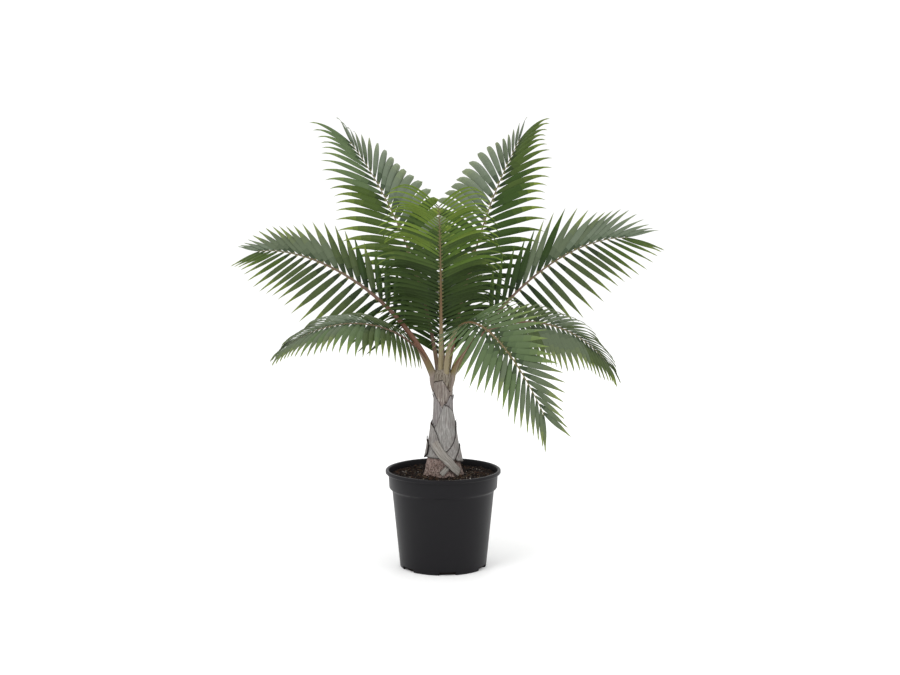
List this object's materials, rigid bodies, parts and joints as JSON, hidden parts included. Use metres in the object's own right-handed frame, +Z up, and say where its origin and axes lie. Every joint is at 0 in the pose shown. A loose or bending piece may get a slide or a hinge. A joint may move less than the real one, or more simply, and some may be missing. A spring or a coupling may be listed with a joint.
{
  "type": "potted hurricane palm",
  "caption": "Young feather palm in a round black nursery pot: arching pinnate fronds round a short stem wrapped in old leaf sheaths.",
  "frame": {"origin": "centre of the pot's flat underside", "axes": "+Z up the stem, +X to the viewer's right, -Y towards the viewer"},
  "size_m": [1.0837, 1.0494, 1.0419],
  "materials": {
    "pot_plastic": "matte black moulded polypropylene",
    "compost": "dark moist potting compost",
    "stem_bark": "pinkish grey stem with cracked rings and dry fibre",
    "sheath_fibre": "dry grey papery leaf sheath",
    "frond_green": "satin mid and grey green leaflets on a reddish brown stalk",
    "frond_young": "brighter yellow green young leaflets"
  },
  "bodies": {
    "root": {"pot": "pot_plastic", "soil": "compost", "trunk": "stem_bark", "sheath_upper": "sheath_fibre", "sheath_middle": "sheath_fibre", "sheath_lower": "sheath_fibre", "sheath_foot": "sheath_fibre", "frond_centre": "frond_young", "frond_front_inner": "frond_green", "frond_front_outer": "frond_green", "frond_left": "frond_green", "frond_lower_right_inner": "frond_green", "frond_lower_right_outer": "frond_green", "frond_upper_left": "frond_green", "frond_upper_right": "frond_green", "frond_right": "frond_green", "frond_lower_left_inner": "frond_green", "frond_lower_left_outer": "frond_green", "frond_back_inner": "frond_green", "frond_back_outer": "frond_green"}
  },
  "joints": []
}
